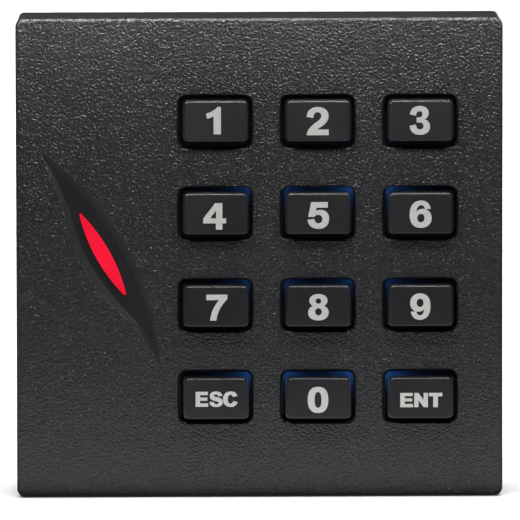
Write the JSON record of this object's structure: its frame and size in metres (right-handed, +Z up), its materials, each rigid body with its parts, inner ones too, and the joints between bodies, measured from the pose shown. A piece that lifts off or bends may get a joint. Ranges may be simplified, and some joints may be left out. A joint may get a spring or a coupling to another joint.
{
  "type": "keypad access reader",
  "caption": "Square black wall reader for door access with a numeric keypad, a lit indicator slit in a leaf-shaped hollow, a proximity antenna inside and a steel wall plate behind.",
  "frame": {"origin": "on the wall plane, midway between the two wall screw holes, behind the middle of the square face", "axes": "+X to the right seen from the front, +Z up, -Y out of the wall toward the user, wall plane at Y = 0"},
  "size_m": [0.086, 0.016, 0.086],
  "materials": {
    "case_plastic": "fine moulded grain",
    "key_plastic": "satin",
    "lens_red": "translucent, lit red",
    "carbon_rubber": "matt",
    "silicone": "translucent",
    "board": "green solder mask",
    "gold_plate": "gold plated",
    "led_blue": "lit blue",
    "led_red": "lit red",
    "enamelled_copper": "enamelled copper wire",
    "chip_black": "moulded epoxy, tinned leads",
    "metal_can": "bright",
    "ceramic_tan": "fired ceramic",
    "resistor_black": "glazed",
    "buzzer_black": "satin",
    "header_nylon": "natural nylon",
    "tinned": "tinned",
    "screw_steel": "zinc plated",
    "seal_rubber": "matt",
    "grommet_rubber": "matt",
    "plate_steel": "zinc plated sheet",
    "black_steel": "black oxide"
  },
  "bodies": {
    "case": {"front_housing": "case_plastic", "indicator_lens": "lens_red", "keypad_mat": "silicone", "main_board": "board", "contact_pads": "gold_plate", "backlight_leds": "led_blue", "status_leds": "led_red", "antenna_coil": "enamelled_copper", "mcu_chip": "chip_black", "radio_chip": "chip_black", "interface_chip": "chip_black", "voltage_regulator": "chip_black", "crystal": "metal_can", "capacitors": "ceramic_tan", "resistors": "resistor_black", "protection_diode": "chip_black", "buzzer": "buzzer_black", "cable_header": "header_nylon", "header_pins": "tinned", "board_screws": "screw_steel", "seal_ring": "seal_rubber", "rear_cover": "case_plastic", "cover_screws": "screw_steel", "cable_grommet": "grommet_rubber", "wall_plate": "plate_steel", "lock_screw": "black_steel"},
    "button_1": {"key_1": "key_plastic", "pill_1": "carbon_rubber"},
    "button_2": {"key_2": "key_plastic", "pill_2": "carbon_rubber"},
    "button_3": {"key_3": "key_plastic", "pill_3": "carbon_rubber"},
    "button_4": {"key_4": "key_plastic", "pill_4": "carbon_rubber"},
    "button_5": {"key_5": "key_plastic", "pill_5": "carbon_rubber"},
    "button_6": {"key_6": "key_plastic", "pill_6": "carbon_rubber"},
    "button_7": {"key_7": "key_plastic", "pill_7": "carbon_rubber"},
    "button_8": {"key_8": "key_plastic", "pill_8": "carbon_rubber"},
    "button_9": {"key_9": "key_plastic", "pill_9": "carbon_rubber"},
    "button_esc": {"key_esc": "key_plastic", "pill_esc": "carbon_rubber"},
    "button_0": {"key_0": "key_plastic", "pill_0": "carbon_rubber"},
    "button_ent": {"key_ent": "key_plastic", "pill_ent": "carbon_rubber"}
  },
  "joints": [
    {"name": "press_1", "type": "slide", "parent": "case", "child": "button_1", "axis": [0, 1, 0], "range_m": [0, 0.001], "stiffness_N_per_m": 1000, "springref_m": -0.0005, "deforming": ["keypad_mat"]},
    {"name": "press_2", "type": "slide", "parent": "case", "child": "button_2", "axis": [0, 1, 0], "range_m": [0, 0.001], "stiffness_N_per_m": 1000, "springref_m": -0.0005, "deforming": ["keypad_mat"]},
    {"name": "press_3", "type": "slide", "parent": "case", "child": "button_3", "axis": [0, 1, 0], "range_m": [0, 0.001], "stiffness_N_per_m": 1000, "springref_m": -0.0005, "deforming": ["keypad_mat"]},
    {"name": "press_4", "type": "slide", "parent": "case", "child": "button_4", "axis": [0, 1, 0], "range_m": [0, 0.001], "stiffness_N_per_m": 1000, "springref_m": -0.0005, "deforming": ["keypad_mat"]},
    {"name": "press_5", "type": "slide", "parent": "case", "child": "button_5", "axis": [0, 1, 0], "range_m": [0, 0.001], "stiffness_N_per_m": 1000, "springref_m": -0.0005, "deforming": ["keypad_mat"]},
    {"name": "press_6", "type": "slide", "parent": "case", "child": "button_6", "axis": [0, 1, 0], "range_m": [0, 0.001], "stiffness_N_per_m": 1000, "springref_m": -0.0005, "deforming": ["keypad_mat"]},
    {"name": "press_7", "type": "slide", "parent": "case", "child": "button_7", "axis": [0, 1, 0], "range_m": [0, 0.001], "stiffness_N_per_m": 1000, "springref_m": -0.0005, "deforming": ["keypad_mat"]},
    {"name": "press_8", "type": "slide", "parent": "case", "child": "button_8", "axis": [0, 1, 0], "range_m": [0, 0.001], "stiffness_N_per_m": 1000, "springref_m": -0.0005, "deforming": ["keypad_mat"]},
    {"name": "press_9", "type": "slide", "parent": "case", "child": "button_9", "axis": [0, 1, 0], "range_m": [0, 0.001], "stiffness_N_per_m": 1000, "springref_m": -0.0005, "deforming": ["keypad_mat"]},
    {"name": "press_esc", "type": "slide", "parent": "case", "child": "button_esc", "axis": [0, 1, 0], "range_m": [0, 0.001], "stiffness_N_per_m": 1000, "springref_m": -0.0005, "deforming": ["keypad_mat"]},
    {"name": "press_0", "type": "slide", "parent": "case", "child": "button_0", "axis": [0, 1, 0], "range_m": [0, 0.001], "stiffness_N_per_m": 1000, "springref_m": -0.0005, "deforming": ["keypad_mat"]},
    {"name": "press_ent", "type": "slide", "parent": "case", "child": "button_ent", "axis": [0, 1, 0], "range_m": [0, 0.001], "stiffness_N_per_m": 1000, "springref_m": -0.0005, "deforming": ["keypad_mat"]}
  ]
}
